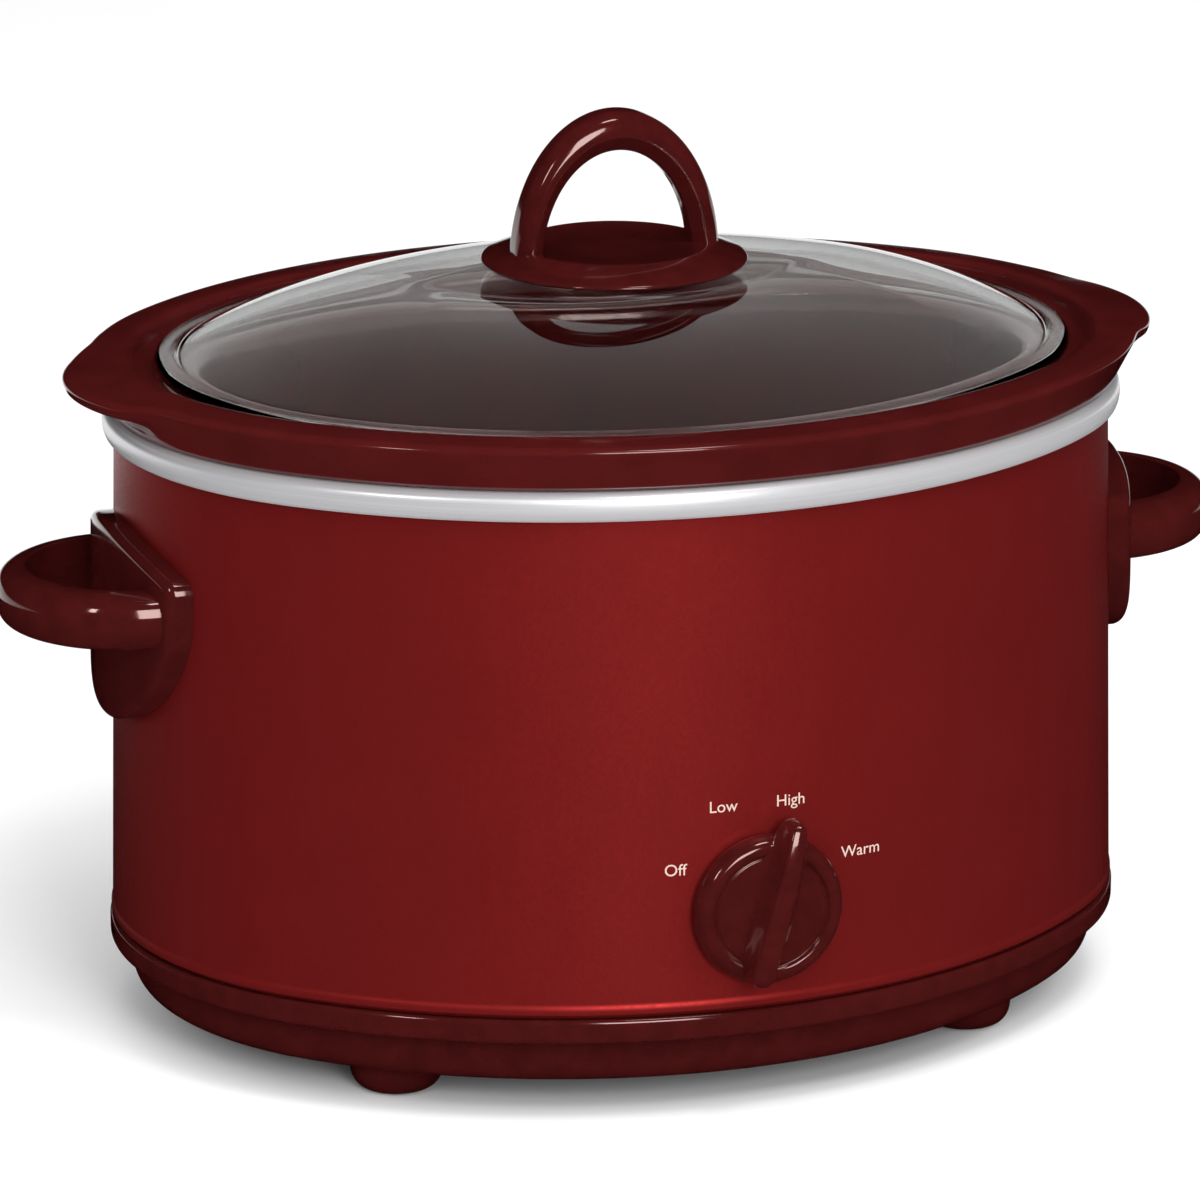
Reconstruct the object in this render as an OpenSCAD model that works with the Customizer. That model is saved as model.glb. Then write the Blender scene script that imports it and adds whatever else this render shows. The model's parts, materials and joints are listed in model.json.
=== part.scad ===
// Oval slow cooker: heating base, lift-out stoneware crock and glass lid.
// +Z is up and the control knob faces -Y. The origin is on the table, under the middle of the
// whole object. Every oval is four tangent arcs, so its walls are true cylinders and tori.
// Profiles are drawn as [offset from the oval, height].

/* [Body] */
// Half length of the painted body just under its rim
body_a = 147.2; // [145:0.1:150]
// Half width of the painted body just under its rim
body_b = 117.3; // [116:0.1:119]
// How far the painted wall spreads between its rim and its seam
body_flare = 2.9; // [2:0.1:3.5]
// Height of the seam between the painted wall and the base pan
seam_z = 31.6; // [30:0.1:33]
// Height of the lower edge of the bright rolled rim
band_low_z = 176.3; // [175:0.1:178]
// Height of the top of the bright rolled rim
band_high_z = 185; // [184:0.1:185]
// Sheet metal thickness
sheet = 0.8; // [0.6:0.1:1]

/* [Base] */
// Height of the underside of the base pan
pan_low_z = 9.5; // [9:0.1:10]
// Thickness of the base pan
pan_wall = 2.5; // [2:0.1:3]
// Foot radius
foot_r = 13.5; // [12:0.5:15]
// Distance of each foot from the middle along X
foot_x = 87; // [84:1:89]
// Distance of each foot from the middle along Y
foot_y = 64; // [60:1:65]
// Radius of the cord hole through the bushing
cord_r = 3.6; // [3:0.1:4]

/* [Crock] */
// Height of the crock's inside floor
crock_floor_z = 66; // [64:0.5:68]
// Height of the crock's underside
crock_under_z = 57; // [56:0.5:58]
// Height of the lower edge of the rim skirt
skirt_z = 185.3; // [185.3:0.1:186]
// Height of the outer ridge of the rim
ridge_z = 198.5; // [198:0.1:199]
// How far the ridge stands out beyond the body oval
ridge_out = 7.8; // [7:0.1:8]
// Height of the ledge that carries the lid
ledge_z = 193.8; // [193:0.1:194]
// Distance from the middle to the tip of each end grip
ear_tip_x = 163.6; // [161:0.1:165]
// Radius of the rounded tip of each end grip
ear_r = 55; // [54:1:56]

/* [Lid] */
// Half length of the glass
lid_a = 134.9; // [133:0.1:136]
// Half width of the glass
lid_b = 110.5; // [109.5:0.1:111]
// Glass thickness
glass = 4.2; // [4:0.1:5]
// Rise of the dome above the edge
dome_rise = 20.1; // [18:0.1:21]
// Radius of the handle disc
disc_r = 38.9; // [37:0.1:40]
// Height of the top of the lid handle
handle_top_z = 266; // [262:0.5:268]
// Half width of the lid handle arch at its foot
arch_out = 31; // [30:0.5:32]
// Half width of the gap under the lid handle
arch_in = 22.5; // [20:0.5:23]

/* [Side handles] */
// Distance from the middle to the tip of each side handle
grip_tip_x = 185; // [183:0.5:188]
// Outer radius of each handle loop
grip_r = 38.5; // [36:0.5:40]
// Thickness of each handle loop, seen from above
grip_t = 9; // [8:0.5:10]
// Height of the underside of the handle loops
grip_low_z = 127; // [125:0.5:130]
// Height of the top of the handle loops
grip_high_z = 144; // [142:0.5:146]

/* [Control] */
// How far the knob's axis stands to the right of the middle
knob_x = 4.8; // [4:0.1:5.5]
// Height of the knob's axis
knob_z = 62; // [60:0.5:64]
// Knob radius
knob_r = 22; // [20:0.5:23]
// Height of the knob's grip above the back of the knob
knob_h = 13.2; // [12.6:0.1:14]
// Angle of the knob's grip from straight up, clockwise seen from the front
knob_rest = 15; // [0:1:30]
// Shaft radius
shaft_r = 3; // [2.5:0.1:3.2]

/* [Hidden] */
$fn = 96;

red_gloss = [0.42, 0.05, 0.07];
red_paint = [0.50, 0.08, 0.10];
steel = [0.72, 0.73, 0.75];
brass = [0.76, 0.62, 0.30];

run_gap = 0.05;     // radial clearance of a running fit
body_gap = 0.3;     // clearance between the base, the crock and the lid
knob_gap = 1.2;     // clearance between the knob's back and the painted wall

// Offset of the painted wall's outer face from the body oval at a height
function wall_t(z) = body_flare * (band_low_z - z) / (band_low_z - seam_z);
// Offset of the heating well's outer face from the body oval at a height
function well_t(z) = -13.7 - 6 * (181 - z) / 96;

panel_y = body_b + wall_t(knob_z);                        // painted wall at the knob
front_reach = panel_y + knob_gap + knob_h;                // front of the knob's grip
back_reach = body_b + ridge_out;                          // back of the crock's rim
axis_y = (front_reach - back_reach) / 2;                  // middle of the body oval
end_x = arc_offset(body_a, body_b);                       // centre of the right end arc
body_end_r = body_a - end_x;                              // radius of the end arcs
grip_x = grip_tip_x - grip_r;                             // centre of a handle loop
glass_low_z = ledge_z + body_gap;
apex_z = glass_low_z + glass + dome_rise;                 // top of the glass
disc_z = apex_z + 1;                                      // underside of the handle disc
dial_z = 4.8;                                             // height of the knob's flat dial
bushing_z = 45;
bushing_y = body_b + wall_t(bushing_z);
ear_x = ear_tip_x - ear_r;
screw_y = 18;                                             // handle screws, from the middle
screw_z = 148.5;                                          // height of the handle screws
bracket_a = 40;                                           // angle of a base screw on its end arc
bracket_r = 79;                                           // reach of a base screw on its end arc
stud_r = 2.5;
well_low_z = 52.2;                                        // underside of the heating well
shield_z = 40;                                            // underside of the heat shield
cutoff_z = 75;                                            // thermal cut-off's axis
cutoff_y = body_b - 17.6;
block_top_z = 24;                                         // top of the terminal block
dome_run = 75;                                            // distance in over which the dome rises
flange = 6;                                               // width of the glass's flat edge
dome_steps = 12;

// ---- shared shapes ----------------------------------------------------------------------

// An oval of half length a and half width b is drawn with four arcs that meet at 45 degrees. The
// end arcs' centres are this far out along X, and the side arcs' centres as far out along Y.
function arc_offset(a, b) = round(1000 * (a - b) / (2 - sqrt(2))) / 1000;

// Moves a profile out to a radius, in two steps so that no digits are lost
module at_radius(r) {
  coarse = floor(100 * r) / 100;
  translate([coarse, 0]) translate([r - coarse, 0]) children();
}

// Carries a flat child round an oval; it is drawn at its offset from the oval
module round_oval(a, b) {
  c = arc_offset(a, b);
  end_r = a - c;
  for (flip_x = [0, 1], flip_y = [0, 1]) mirror([flip_x, 0, 0]) mirror([0, flip_y, 0]) {
    translate([c, 0, 0])
      rotate_extrude(angle = 45) at_radius(end_r) children();
    translate([0, -c, 0])
      mirror([1, -1, 0]) rotate_extrude(angle = 45) at_radius(end_r + sqrt(2) * c) children();
  }
}

// A profile of [offset, height] points carried round an oval
module oval_ring(profile, a = body_a, b = body_b) round_oval(a, b) polygon(profile);

// Closes the middle of an oval whose profile has been carried in to core_offset()
module core_disc(z_low, z_high, a = body_a, b = body_b)
  translate([0, 0, z_low]) cylinder(r = arc_offset(a, b) + 16, h = z_high - z_low);
function core_offset(a = body_a, b = body_b) = arc_offset(a, b) - a + 12;

module on_axis() translate([0, axis_y, 0]) children();

// Local +Z points out of the front of the body, from the painted wall at the knob
module at_panel() on_axis() translate([knob_x, -panel_y, knob_z]) rotate([90, 0, 0]) children();

// Local +Z points out of the back of the body, at the cord bushing
module at_bushing() on_axis() translate([0, bushing_y, bushing_z]) rotate([-90, 0, 0]) children();

module tube(r_out, r_in, h) difference() {
  cylinder(r = r_out, h = h);
  translate([0, 0, -1]) cylinder(r = r_in, h = h + 2);
}

// A straight round bar between two points
module bar(from, to, r) {
  run = to - from;
  translate(from)
    rotate([0, acos(run[2] / norm(run)), atan2(run[1], run[0])])
      cylinder(r = r, h = norm(run), $fn = 48);
}

// An insulated lead along a few points
module lead(points, r = 1.3) {
  for (i = [0 : len(points) - 2]) bar(points[i], points[i + 1], r);
  for (i = [1 : len(points) - 2]) translate(points[i]) sphere(r = r + 0.1, $fn = 48);
}

// Places its children at both handle screws of the right-hand end, local +Z pointing outward
module at_handle_screws() for (s = [-1, 1])
  translate([body_a, s * screw_y, screw_z]) rotate([0, 90, 0]) children();

// Places its children at the four base screws
module at_base_screws() for (turn = [0, 180], s = [-1, 1])
  rotate(turn) translate([end_x, 0, 0]) rotate(s * bracket_a) translate([bracket_r, 0, 0]) children();

// ---- heating base -----------------------------------------------------------------------

module outer_shell() color(red_paint) on_axis() difference() {
  low_t = wall_t(seam_z + 2);
  oval_ring([
    [-4, seam_z], [body_flare + 0.6, seam_z], [body_flare + 0.6, seam_z + 1.6], [low_t, seam_z + 2.2],
    [0, band_low_z], [0, band_low_z + 2.5], [-sheet, band_low_z + 2.5], [-sheet, band_low_z],
    [low_t - sheet, seam_z + 2.2], [low_t - sheet, seam_z + sheet], [-4, seam_z + sheet]
  ]);
  translate([knob_x, -body_b + 10, knob_z]) rotate([90, 0, 0]) cylinder(r = 4.9, h = 30);
  translate([0, body_b - 10, bushing_z]) rotate([-90, 0, 0]) cylinder(r = 6.6, h = 30);
  for (turn = [0, 180]) rotate(turn) at_handle_screws() translate([0, 0, -9]) cylinder(r = 1.9, h = 18);
}

// The liner, with its bright rim rolled over the top of the painted wall
module heating_well() color(steel) on_axis() {
  core = core_offset();
  oval_ring([
    [0.3, band_low_z], [2.4, band_low_z + 0.3], [3.3, band_low_z + 2.2], [3.4, band_low_z + 4.4],
    [3.1, band_high_z - 2], [2, band_high_z - 0.6], [0.3, band_high_z], [-7, band_high_z - 0.2],
    [-11, band_high_z - 1.2], [-13.3, band_high_z - 2.2], [well_t(180.8) - sheet, 180.8],
    [well_t(85) - sheet, 85], [-22.4, 67.8], [-27.3, 57.6], [-33, 53.6], [-40, well_low_z + sheet],
    [core, well_low_z + sheet], [core, well_low_z], [-40, well_low_z], [-32.6, 52.8], [-26.6, 57],
    [-21.6, 67.4], [well_t(85), 85], [well_t(180.8), 180.8], [-12.8, band_high_z - 3],
    [-10.8, band_high_z - 2], [-7, band_high_z - 1], [0.2, band_high_z - sheet],
    [1.5, band_high_z - 1.4], [2.3, band_high_z - 2.4], [2.6, band_low_z + 4.4],
    [2.5, band_low_z + 2.4], [1.9, band_low_z + 1.1], [0.3, band_low_z + sheet]
  ]);
  core_disc(well_low_z, well_low_z + sheet);
}

module base_pan() color(red_gloss) on_axis() difference() {
  floor_z = pan_low_z + pan_wall;
  union() {
    oval_ring([
      [core_offset(), pan_low_z], [-9, pan_low_z], [-5.6, 11], [-3.8, 14], [-2.2, 18.5], [-1.2, 23.4],
      [-0.6, 24.3], [2.9, 24.5], [3.7, 25.3], [3.7, seam_z - 0.4], [3.3, seam_z], [-3.9, seam_z],
      [-4, 18.9], [-5.8, 15.2], [-8, 13], [-11, floor_z], [core_offset(), floor_z]
    ]);
    core_disc(pan_low_z, floor_z);
    at_base_screws() translate([0, 0, floor_z - 0.5]) cylinder(r = 5, h = seam_z + sheet - floor_z + 0.4);
  }
  for (x = [-foot_x, foot_x], y = [-foot_y, foot_y])
    translate([x, y, 0]) cylinder(r = 4.1, h = floor_z + 1);
  at_base_screws() cylinder(r = 1.8, h = seam_z + 3);
  at_base_screws() cylinder(r = 3.7, h = floor_z - 0.4);
  cylinder(r = 2.8, h = floor_z + 1);
  for (i = [-5 : 5], s = [-1, 1])
    translate([i * 8 - 1.5, s * 34 - 10, 0]) cube([3, 20, floor_z + 1]);
}

module foot(x, y) color(red_gloss) on_axis() translate([x, y, 0]) rotate_extrude() polygon([
  [0, 0], [8, 0], [11, 1], [12.8, 3.2], [foot_r, 6.4], [foot_r, pan_low_z], [4, pan_low_z],
  [4, 12.2], [5, 12.2], [4.4, 14], [0, 14]
]);

// Outline of a handle's back plate in [Y, Z]: sloping shoulders and a rounded lower end
function plate_outline() = let (half = 41.3, wide_z = 137, low_z = 99, top_z = 157.5) concat(
  [for (a = [180 : 10 : 360]) [half * cos(a), wide_z + (wide_z - low_z) * sin(a)]],
  [[half, 142.5]],
  [for (a = [0 : 15 : 70]) [half - 8 + 8 * cos(a), 142.5 + 8 * sin(a)]],
  [[0, top_z]],
  [for (a = [110 : 15 : 180]) [8 - half + 8 * cos(a), 142.5 + 8 * sin(a)]]
);

module side_handle() color(red_gloss) difference() {
  mid_z = (grip_low_z + grip_high_z) / 2;
  union() {
    intersection() {
      translate([end_x, 0, 0]) rotate(-45) rotate_extrude(angle = 90) translate([body_end_r, 0]) polygon([
        [wall_t(95) + 0.1, 95], [wall_t(95) + 5.6, 95], [wall_t(97) + 6.6, 97],
        [wall_t(160) + 6.6, 160], [wall_t(160) + 0.1, 160]
      ]);
      translate([end_x, 0, 0]) rotate([90, 0, 90]) linear_extrude(130) polygon(plate_outline());
    }
    translate([grip_x, 0, 0]) rotate(-90) rotate_extrude(angle = 180) polygon([
      [grip_r - grip_t, grip_low_z + 0.6], [grip_r - grip_t + 0.6, grip_low_z],
      [grip_r - 4.4, grip_low_z + 0.3], [grip_r - 1.5, grip_low_z + 2.6],
      [grip_r - 0.3, mid_z - 3.4], [grip_r, mid_z], [grip_r - 0.3, mid_z + 3.4],
      [grip_r - 1.5, grip_high_z - 2.6], [grip_r - 4.4, grip_high_z - 0.3],
      [grip_r - grip_t + 0.6, grip_high_z], [grip_r - grip_t, grip_high_z - 0.6]
    ]);
  }
  at_handle_screws() translate([0, 0, -9]) cylinder(r = 1.6, h = 14);
}

module handle_left() on_axis() rotate(180) side_handle();
module handle_right() on_axis() side_handle();

module handle_screws() color(steel) on_axis() for (turn = [0, 180]) rotate(turn) at_handle_screws() {
  translate([0, 0, -6.2]) cylinder(r = 1.5, h = 11);
  translate([0, 0, -8.4]) cylinder(r = 3.2, h = 2.3);
}

module handle_backing_plates() color(steel) on_axis() for (turn = [0, 180]) rotate(turn) difference() {
  translate([end_x, 0, 0]) rotate(-16) rotate_extrude(angle = 32) translate([body_end_r, 0]) polygon([
    [wall_t(140) - 2.2, 140], [wall_t(140) - 1, 140], [wall_t(157) - 1, 157], [wall_t(157) - 2.2, 157]
  ]);
  at_handle_screws() translate([0, 0, -9]) cylinder(r = 1.9, h = 18);
}

module shell_brackets() color(steel) on_axis() difference() {
  at_base_screws() translate([-7, -7, seam_z + sheet]) cube([21, 14, 1.5]);
  at_base_screws() cylinder(r = 1.9, h = 60);
}

module base_screws() color(steel) on_axis() at_base_screws() {
  translate([0, 0, pan_low_z + 0.3]) cylinder(r = 3.4, h = 1.8);
  translate([0, 0, pan_low_z + 2]) cylinder(r = 1.6, h = 26);
}

// ---- heating parts ----------------------------------------------------------------------

// A band that hugs the well between two heights, open at the back
module hug_band(z_low, z_high, gap, thick, opening) difference() {
  oval_ring([
    [well_t(z_low) + gap, z_low], [well_t(z_low) + gap + thick, z_low],
    [well_t(z_high) + gap + thick, z_high], [well_t(z_high) + gap, z_high]
  ]);
  translate([-opening / 2, 0, z_low - 1]) cube([opening, 200, z_high - z_low + 2]);
}

module heater_band() color([0.62, 0.55, 0.42]) on_axis() hug_band(92, 150, 0.1, 2.4, 50);
module heater_strap() color(steel) on_axis() hug_band(112, 130, 2.6, sheet, 44);
module insulation_wrap() color([0.86, 0.86, 0.84]) on_axis() hug_band(90, 155, 3.8, 2, 60);

// Two tension springs pull the strap's ends together
module strap_springs() color(steel) on_axis() for (z = [116.5, 125.5])
  translate([-21.95, body_b + well_t(121) + 2.3, z]) rotate([0, 90, 0]) cylinder(r = 2, h = 43.9);

module heat_shield() color(steel) on_axis() difference() {
  union() {
    oval_ring([
      [core_offset(), shield_z], [-26.6, shield_z], [-24.6, shield_z + 3.4], [-25.4, shield_z + 3.8],
      [-27, shield_z + sheet], [core_offset(), shield_z + sheet]
    ]);
    core_disc(shield_z, shield_z + sheet);
  }
  translate([0, 0, shield_z - 1]) cylinder(r = stud_r + 0.5, h = 3);
}

module stud_spacers() color(steel) on_axis() {
  pan_floor_z = pan_low_z + pan_wall;
  translate([0, 0, pan_floor_z]) tube(5, stud_r + 0.3, shield_z - pan_floor_z);
  translate([0, 0, shield_z + sheet]) tube(5, stud_r + 0.3, well_low_z - shield_z - sheet);
}

module centre_stud() color(steel) on_axis() translate([0, 0, 4]) cylinder(r = stud_r, h = well_low_z - 4);
module centre_washer() color(steel) on_axis() translate([0, 0, pan_low_z - 1]) tube(7, stud_r + 0.2, 1);
module centre_nut() color(steel) on_axis() translate([0, 0, pan_low_z - 5]) difference() {
  cylinder(r = 5, h = 4, $fn = 6);
  translate([0, 0, -1]) cylinder(r = stud_r, h = 6);
}

// ---- electrical parts -------------------------------------------------------------------

module switch_body() color([0.90, 0.88, 0.80]) at_panel() difference() {
  union() {
    translate([-14, -13.5, -16]) cube([28, 27, 13]);
    translate([0, 0, -3.1]) cylinder(r = 4.6, h = 5.6);
    for (x = [-6, 6]) translate([x - 1, 13.4, -11.5]) cube([2, 3, 0.8]);
    translate([-9, -16.4, -11.5]) cube([2, 3, 0.8]);
  }
  translate([0, 0, -12]) cylinder(r = shaft_r + run_gap, h = 20);
}

module switch_bracket() color(steel) at_panel() difference() {
  translate([-14, -15, -3]) cube([25, 30, 1]);
  translate([0, 0, -5]) cylinder(r = 4.7, h = 8);
}

module switch_nut() color(brass) at_panel() translate([0, 0, 0.2]) difference() {
  cylinder(r = 6.6, h = 2, $fn = 6);
  translate([0, 0, -1]) cylinder(r = 4.65, h = 5);
}

module switch_shaft() color(brass) at_panel() difference() {
  translate([0, 0, -11.5]) cylinder(r = shaft_r, h = 20.6);
  rotate(-knob_rest) translate([2, -4, 3.6]) cube([4, 8, 9]);
}

module thermal_cutoff() color([0.85, 0.82, 0.70]) on_axis()
  translate([-11, cutoff_y, cutoff_z]) rotate([0, 90, 0]) cylinder(r = 2.3, h = 22);

module cutoff_clip() color(steel) on_axis()
  translate([-3, cutoff_y, cutoff_z]) rotate([0, 90, 0]) tube(3, 2.35, 6);

module terminal_block() color([0.93, 0.92, 0.88]) on_axis() difference() {
  translate([-38, 68, pan_low_z + pan_wall]) cube([28, 16, block_top_z - pan_low_z - pan_wall]);
  for (x = [-31, -17]) translate([x, 76, block_top_z - 6]) cylinder(r = 2.4, h = 8);
}

module wire_live() color([0.15, 0.15, 0.15]) on_axis() lead([
  [-31, 76, block_top_z - 5.5], [-31, 76, 29], [-33, -60, 29], [knob_x - 15, -104, 31],
  [knob_x - 8, -109, knob_z - 16.5]
]);
module wire_neutral() color([0.92, 0.92, 0.92]) on_axis() lead([
  [-17, 76, block_top_z - 6], [-17, 76, 30], [-17, 104, 30], [-17, 104, cutoff_z],
  [-17, cutoff_y, cutoff_z], [-11, cutoff_y, cutoff_z]
]);
module wire_element() color([0.92, 0.92, 0.92]) on_axis() lead([
  [11.8, cutoff_y, cutoff_z], [19, 101, 80], [28, 97, 90.6]
]);

// A lead from the switch up to the lower edge of the heater band, on one side of the middle
module front_lead(side) on_axis()
  bar([knob_x + side * 7, -108, knob_z + 16.7], [knob_x + side * 20, -98.4, 90], 1.3);
module wire_low() color([0.80, 0.25, 0.20]) front_lead(-1);
module wire_high() color([0.25, 0.35, 0.75]) front_lead(1);

module cord_bushing() color([0.12, 0.12, 0.12]) at_bushing() difference() {
  union() {
    translate([0, 0, -9]) cylinder(r = 6.4, h = 10);
    translate([0, 0, 0.5]) cylinder(r1 = 9.5, r2 = 8, h = 3);
  }
  translate([0, 0, -10]) cylinder(r = cord_r, h = 16);
}

module bushing_nut() color([0.12, 0.12, 0.12]) at_bushing() translate([0, 0, -5]) difference() {
  cylinder(r = 9.5, h = 3, $fn = 6);
  translate([0, 0, -1]) cylinder(r = 6.4, h = 5);
}

// A blank plate under the pan, between the vents and the right-hand feet
module rating_plate() color(steel) on_axis()
  translate([50, -17, pan_low_z - 0.4]) cube([60, 34, 0.4]);

// ---- crock ------------------------------------------------------------------------------

module crock() color(red_gloss) on_axis() {
  core = core_offset();
  oval_ring([
    [1.2, skirt_z], [2, skirt_z + 0.7], [ridge_out - 0.3, ridge_z - 1.2], [ridge_out, ridge_z - 0.4],
    [ridge_out - 0.9, ridge_z + 0.5], [-2.5, ridge_z + 1.3], [-4.6, ridge_z + 1], [-5.5, ridge_z - 0.2],
    [-6, ledge_z + 0.8], [-7, ledge_z], [-23.5, ledge_z], [-26.2, ledge_z - 1.6], [-27.3, ledge_z - 5],
    [-33, 84], [-35.4, 73], [-41, 68], [-48, crock_floor_z], [core, crock_floor_z],
    [core, crock_under_z], [-40, crock_under_z], [-33, 60], [-27.4, 68], [-24.2, 85],
    [-17.6, 183], [-15.4, 187], [-12, 188.6], [-3.4, 189], [-2.4, 188], [-1.8, skirt_z + 0.4],
    [-1, skirt_z]
  ]);
  core_disc(crock_under_z, crock_floor_z);
  for (turn = [0, 180]) rotate(turn) translate([ear_x, 0, 0]) rotate(-46)
    rotate_extrude(angle = 92) polygon([
      [42, 190], [ear_r - 3, 193.2], [ear_r - 0.8, 194], [ear_r, 195.2], [ear_r - 0.5, 196.6],
      [ear_r - 2, 197.4], [42, ridge_z + 0.4]
    ]);
}

// ---- lid --------------------------------------------------------------------------------

// Rise of the glass at a distance in from its edge
function dome_z(s) = s < flange ? 0 : dome_rise * (1 - pow(1 - min(1, (s - flange) / dome_run), 2));
function dome_curve(z) = [for (i = [0 : dome_steps])
  let (s = flange + dome_run * i / dome_steps) [-s, z + dome_z(s)]];
function reversed(list) = [for (i = [len(list) - 1 : -1 : 0]) list[i]];

module lid_glass() color([0.80, 0.84, 0.84, 0.4]) on_axis() difference() {
  high_z = glass_low_z + glass;
  core = core_offset(lid_a, lid_b);
  union() {
    oval_ring(concat(
      [[-1.2, glass_low_z], [0, glass_low_z + 1.2], [0, high_z - 1.2], [-1.2, high_z]],
      dome_curve(high_z), [[core, apex_z], [core, apex_z - glass]], reversed(dome_curve(glass_low_z))
    ), lid_a, lid_b);
    intersection() {
      core_disc(apex_z - glass, apex_z, lid_a, lid_b);
      translate([-100, -30, apex_z - glass - 1]) cube([200, 60, glass + 2]);
    }
  }
  translate([0, 0, apex_z - 2 * glass]) cylinder(r = 4.5, h = 3 * glass);
}

function arch_outline(half, top) = [for (a = [0 : 5 : 180]) [half * cos(a), top * sin(a)]];

module lid_handle() color(red_gloss) on_axis() difference() {
  foot_z = disc_z + 4;
  union() {
    rotate_extrude() polygon([
      [0, apex_z - 3.8], [4.2, apex_z - 3.8], [4.2, disc_z], [15, disc_z], [disc_r - 1, disc_z + 2],
      [disc_r, disc_z + 2.6], [disc_r - 0.3, disc_z + 3.4], [26, disc_z + 7.4], [22, disc_z + 7.2],
      [12, disc_z + 5.4], [0, disc_z + 4.8]
    ]);
    translate([0, 6.5, foot_z]) rotate([90, 0, 0]) linear_extrude(13) difference() {
      polygon(arch_outline(arch_out, handle_top_z - foot_z));
      polygon(arch_outline(arch_in, handle_top_z - foot_z - 11.7));
    }
  }
  translate([0, 0, apex_z - 5]) cylinder(r = 1.9, h = 9.6);
}

module lid_gasket() color([0.2, 0.2, 0.2]) on_axis() translate([0, 0, apex_z]) tube(12, 4.8, 1);
module lid_washer() color(steel) on_axis() translate([0, 0, apex_z - glass - 1.2]) tube(9, 2.1, 1.2);
module lid_screw() color(steel) on_axis() translate([0, 0, apex_z - glass - 3.6]) {
  cylinder(r = 4.2, h = 2.4);
  cylinder(r = 1.8, h = 11.8);
}

// ---- control ----------------------------------------------------------------------------

// Places its children on the knob, local +Z pointing out of the front and local +Y along the grip
module at_knob() at_panel() rotate(-knob_rest) translate([0, 0, knob_gap]) children();

// Outline of the grip at one level: rounded ends at low and high, and its widest points between
function grip_outline(low, heel_r, high, nose_r, sides) = concat(
  [for (a = [0 : 15 : 180]) [nose_r * cos(a), high - nose_r + nose_r * sin(a)]],
  [for (p = sides) [-p[0], p[1]]],
  [for (a = [180 : 15 : 360]) [heel_r * cos(a), low + heel_r + heel_r * sin(a)]],
  [for (i = [len(sides) - 1 : -1 : 0]) sides[i]]
);

// The grip across the knob: a blade that is widest at its foot and points past the dial
module knob_grip() hull() {
  translate([0, 0, dial_z - 0.6]) linear_extrude(0.1)
    polygon(grip_outline(-21, 3.6, 27.3, 2.8, [[6.5, 17], [7.8, 3], [5.6, -15]]));
  translate([0, 0, dial_z + 4]) linear_extrude(0.1)
    polygon(grip_outline(-21.2, 3.6, 27.5, 2.6, [[4.4, 17], [5.4, 3], [4.5, -15]]));
  translate([0, 0, knob_h - 0.1]) linear_extrude(0.1)
    polygon(grip_outline(-20, 3.2, 20, 2, [[3, 14], [3.4, 3], [3.3, -12]]));
}

module control_knob() color(red_gloss) at_knob() difference() {
  union() {
    rotate_extrude() polygon([
      [0, 2], [6.5, 2], [6.5, 3.2], [17.5, 3.2], [17.5, 0.5], [18, 0], [knob_r - 0.6, 0], [knob_r, 0.6],
      [knob_r, 2.2], [knob_r - 0.6, 3.8], [knob_r - 1.6, 5], [knob_r - 2.8, 5.5], [17.6, 5.4],
      [16.6, dial_z + 0.1], [16.2, dial_z - 0.2], [0, dial_z]
    ]);
    knob_grip();
  }
  translate([0, 0, 1.5]) cylinder(r = 4, h = 7);
}

module knob_clip() color(steel) at_knob() translate([0, 0, 2.4]) difference() {
  tube(3.95, shaft_r + run_gap, 5.6);
  translate([-0.75, 0, -1]) cube([1.5, 6, 9]);
}

outer_shell();
heating_well();
base_pan();
foot(-foot_x, -foot_y);  // foot_front_left
foot(foot_x, -foot_y);  // foot_front_right
foot(-foot_x, foot_y);  // foot_back_left
foot(foot_x, foot_y);  // foot_back_right
handle_left();
handle_right();
handle_screws();
handle_backing_plates();
shell_brackets();
base_screws();
heater_band();
heater_strap();
strap_springs();
insulation_wrap();
heat_shield();
stud_spacers();
centre_stud();
centre_washer();
centre_nut();
switch_body();
switch_bracket();
switch_nut();
thermal_cutoff();
cutoff_clip();
terminal_block();
wire_live();
wire_neutral();
wire_element();
wire_low();
wire_high();
cord_bushing();
bushing_nut();
rating_plate();
crock();
lid_glass();
lid_handle();
lid_gasket();
lid_washer();
lid_screw();
control_knob();
knob_clip();
switch_shaft();
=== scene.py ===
"""Looks of the oval slow cooker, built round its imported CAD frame.

Lengths inside the mesh code are millimetres from the body oval's own axis, with z from the table;
place() turns them into the frame's metres.
"""

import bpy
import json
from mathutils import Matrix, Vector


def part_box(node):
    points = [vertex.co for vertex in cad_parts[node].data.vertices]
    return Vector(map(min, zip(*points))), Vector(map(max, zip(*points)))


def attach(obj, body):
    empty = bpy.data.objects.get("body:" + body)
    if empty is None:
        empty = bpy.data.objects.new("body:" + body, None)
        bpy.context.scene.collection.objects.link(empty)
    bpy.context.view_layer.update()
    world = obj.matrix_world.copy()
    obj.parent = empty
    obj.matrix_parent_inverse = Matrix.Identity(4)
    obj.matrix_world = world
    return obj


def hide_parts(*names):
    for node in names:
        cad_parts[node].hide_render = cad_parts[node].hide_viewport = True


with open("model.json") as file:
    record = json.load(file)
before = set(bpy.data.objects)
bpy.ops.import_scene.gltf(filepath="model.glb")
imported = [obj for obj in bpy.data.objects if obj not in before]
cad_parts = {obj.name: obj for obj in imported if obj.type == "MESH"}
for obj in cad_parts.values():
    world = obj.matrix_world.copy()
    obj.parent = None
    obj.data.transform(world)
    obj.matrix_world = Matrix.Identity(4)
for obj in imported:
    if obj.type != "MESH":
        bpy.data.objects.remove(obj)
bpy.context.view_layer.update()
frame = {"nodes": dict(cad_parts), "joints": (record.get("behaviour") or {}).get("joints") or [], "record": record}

import json
import math

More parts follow.
